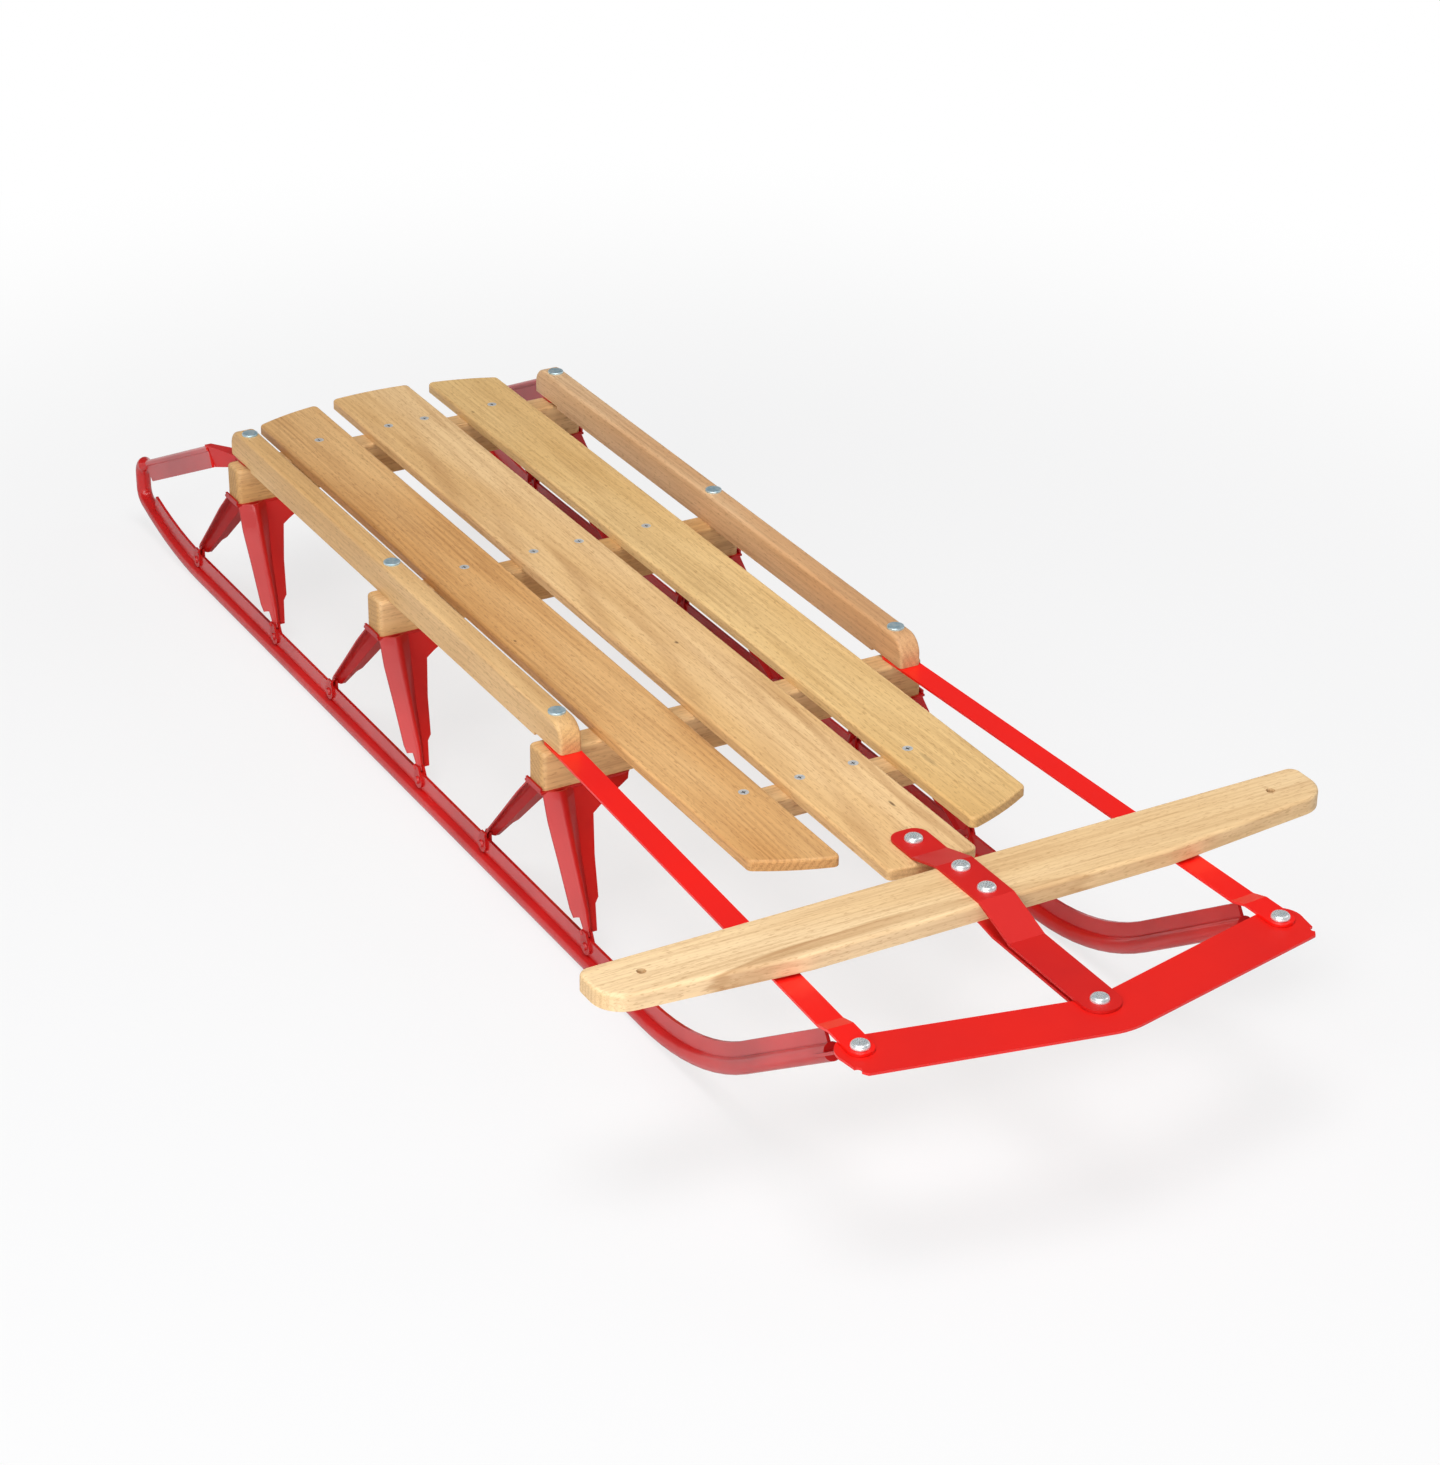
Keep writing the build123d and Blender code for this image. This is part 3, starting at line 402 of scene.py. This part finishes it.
# Enamels: name, base tone, deep tone, seed, roughness, clear coat
strap_red = enamel("strap_enamel", rgb(244, 20, 8), rgb(234, 16, 8), 0.0, 0.40, 0.25)
bumper_red = enamel("bumper_enamel", rgb(228, 26, 16), rgb(218, 20, 14), 0.6, 0.40, 0.25)
plate_red = enamel("plate_enamel", rgb(208, 22, 16), rgb(194, 16, 14), 1.1, 0.48, 0.05)
standard_red = enamel("standard_enamel", rgb(190, 16, 14), rgb(168, 11, 10), 1.5, 0.40, 0.18)
runner_red = enamel("runner_enamel", rgb(202, 20, 18), rgb(180, 14, 14), 2.0, 0.36, 0.60)
# Platings: name, base tone, tint, roughness, share of metal, and the top of a recessed head, below which
# shade is painted
deck_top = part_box("slat_middle")[1].z
zinc = plated("zinc_plate", rgb(206, 224, 230), rgb(168, 202, 216), 0.38, 0.65)
screw_zinc = plated("screw_plate", rgb(240, 240, 238), rgb(220, 222, 222), 0.42, 0.55, deck_top)
rivet_steel = plated("rivet_steel", rgb(240, 243, 244), rgb(214, 226, 230), 0.26, 0.6)
finishes = (
    # start of the piece's name, finish
    ("side_strap", strap_red),
    ("bumper", bumper_red),
    ("steering_plate", plate_red),
    ("standard", standard_red),
    ("foot_rivet", standard_red),
    ("rail_bolt", zinc),
    ("deck_screw", screw_zinc),
    ("pivot_rivet", rivet_steel),
    ("bar_rivet", rivet_steel),
    ("nose_rivet", rivet_steel),
    ("corner_rivet", rivet_steel),
    ("runner", runner_red),
)
for node, piece in nodes.items():
    for start, finish in finishes:
        if node.startswith(start):
            paint(piece, finish)

# Runners: the same steel as in the frame, cut finely enough to flex towards the bumper corners
for side in ("left", "right"):
    node = nodes["runner_" + side]
    steel_mesh = bmesh.new()
    steel_mesh.from_mesh(node.data)
    rivet_low, rivet_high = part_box("corner_rivet_" + side)
    corner = (rivet_low + rivet_high) / 2
    for vert in steel_mesh.verts:
        outward = Vector((vert.co.x - corner.x, vert.co.y - corner.y, 0))
        if outward.length < rivet_hole_reach:
            vert.co += outward.normalized() * rivet_hole_slack
    strap_low, strap_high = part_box("side_strap_" + side)
    flex_start = strap_low.x + (strap_high.x - strap_low.x) * flex_start_share
    cut = flex_start
    while cut < strap_high.x:
        bmesh.ops.bisect_plane(
            steel_mesh, geom=steel_mesh.verts[:] + steel_mesh.edges[:] + steel_mesh.faces[:],
            plane_co=(cut, 0, 0), plane_no=(1, 0, 0), dist=cut_tolerance,
        )
        cut += flex_step
    mesh = bpy.data.meshes.new("flexing_runner_" + side)
    steel_mesh.to_mesh(mesh)
    steel_mesh.free()
    runner = bpy.data.objects.new("flexing_runner_" + side, mesh)
    scene.collection.objects.link(runner)
    paint(runner, runner_red)
    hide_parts("runner_" + side)
    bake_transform(runner)

# Floor
floor_reach = 14.0
floor_corners = [(x * floor_reach, y * floor_reach, 0) for x, y in ((-1, -1), (1, -1), (1, 1), (-1, 1))]
floor_mesh = bpy.data.meshes.new("floor")
floor_mesh.from_pydata(floor_corners, [], [(0, 1, 2, 3)])
floor = bpy.data.objects.new("floor", floor_mesh)
scene.collection.objects.link(floor)
paint(floor, pale_floor())

# Studio: white at the horizon and dimmer above, by the height of the direction looked in
sky_limits = {"From Min": 0.02, "From Max": 0.20, "To Min": 1.0, "To Max": 0.12}
world = bpy.data.worlds.new("studio")
scene.world = world
world.use_nodes = True
sky = world.node_tree
direction = sky.nodes.new("ShaderNodeTexCoord")
upwardness = sky.nodes.new("ShaderNodeSeparateXYZ")
sky.links.new(direction.outputs["Generated"], upwardness.inputs[0])
glow = sky.nodes.new("ShaderNodeMapRange")
glow.interpolation_type = "SMOOTHSTEP"
for key, number in sky_limits.items():
    glow.inputs[key].default_value = number
sky.links.new(upwardness.outputs["Z"], glow.inputs["Value"])
sky.nodes["Background"].inputs["Color"].default_value = (1.0, 1.0, 1.0, 1.0)
sky.links.new(glow.outputs["Result"], sky.nodes["Background"].inputs["Strength"])

# Softboxes overhead, in front, low in front and at the far side
lamps = (
    # name, place, aim, width, height, watts
    ("overhead_softbox", (0.6, -0.3, 3.0), (0.2, 0.0, 0.0), 1.5, 1.5, 55.0),
    ("front_softbox", (2.1, -2.5, 2.2), (0.2, 0.0, 0.1), 2.6, 2.6, 72.0),
    ("low_softbox", (3.0, -1.9, 0.8), (0.2, 0.0, 0.1), 2.6, 1.2, 30.0),
    ("side_softbox", (0.4, 2.6, 2.4), (0.1, 0.0, 0.1), 1.6, 1.6, 14.0),
)
for name, place, aim, width, height, watts in lamps:
    light = bpy.data.lights.new(name, "AREA")
    light.shape = "RECTANGLE"
    light.size = width
    light.size_y = height
    light.energy = watts
    lamp = bpy.data.objects.new(name, light)
    lamp.location = place
    lamp.rotation_euler = (Vector(aim) - Vector(place)).to_track_quat("-Z", "Y").to_euler()
    scene.collection.objects.link(lamp)

# Camera: looks from the photograph's place, with its azimuth, elevation and roll
turn = math.radians(camera_azimuth)
tilt = math.radians(camera_elevation)
roll = math.radians(camera_roll)
back = Vector((math.sin(turn) * math.cos(tilt), -math.cos(turn) * math.cos(tilt), math.sin(tilt)))
level = Vector((0, 0, 1)).cross(back).normalized()
upward = back.cross(level)
right = math.cos(roll) * level + math.sin(roll) * upward
up = math.cos(roll) * upward - math.sin(roll) * level
view = bpy.data.cameras.new("photo_camera")
view.sensor_width = sensor
view.lens = focal_pixels * sensor / max(photo_width, photo_height)
view.clip_end = farthest_seen
camera = bpy.data.objects.new("photo_camera", view)
pose = Matrix((right, up, back)).transposed().to_4x4()
pose.translation = Vector(camera_place)
camera.matrix_world = pose
scene.collection.objects.link(camera)
scene.camera = camera
scene.view_settings.view_transform = "Standard"
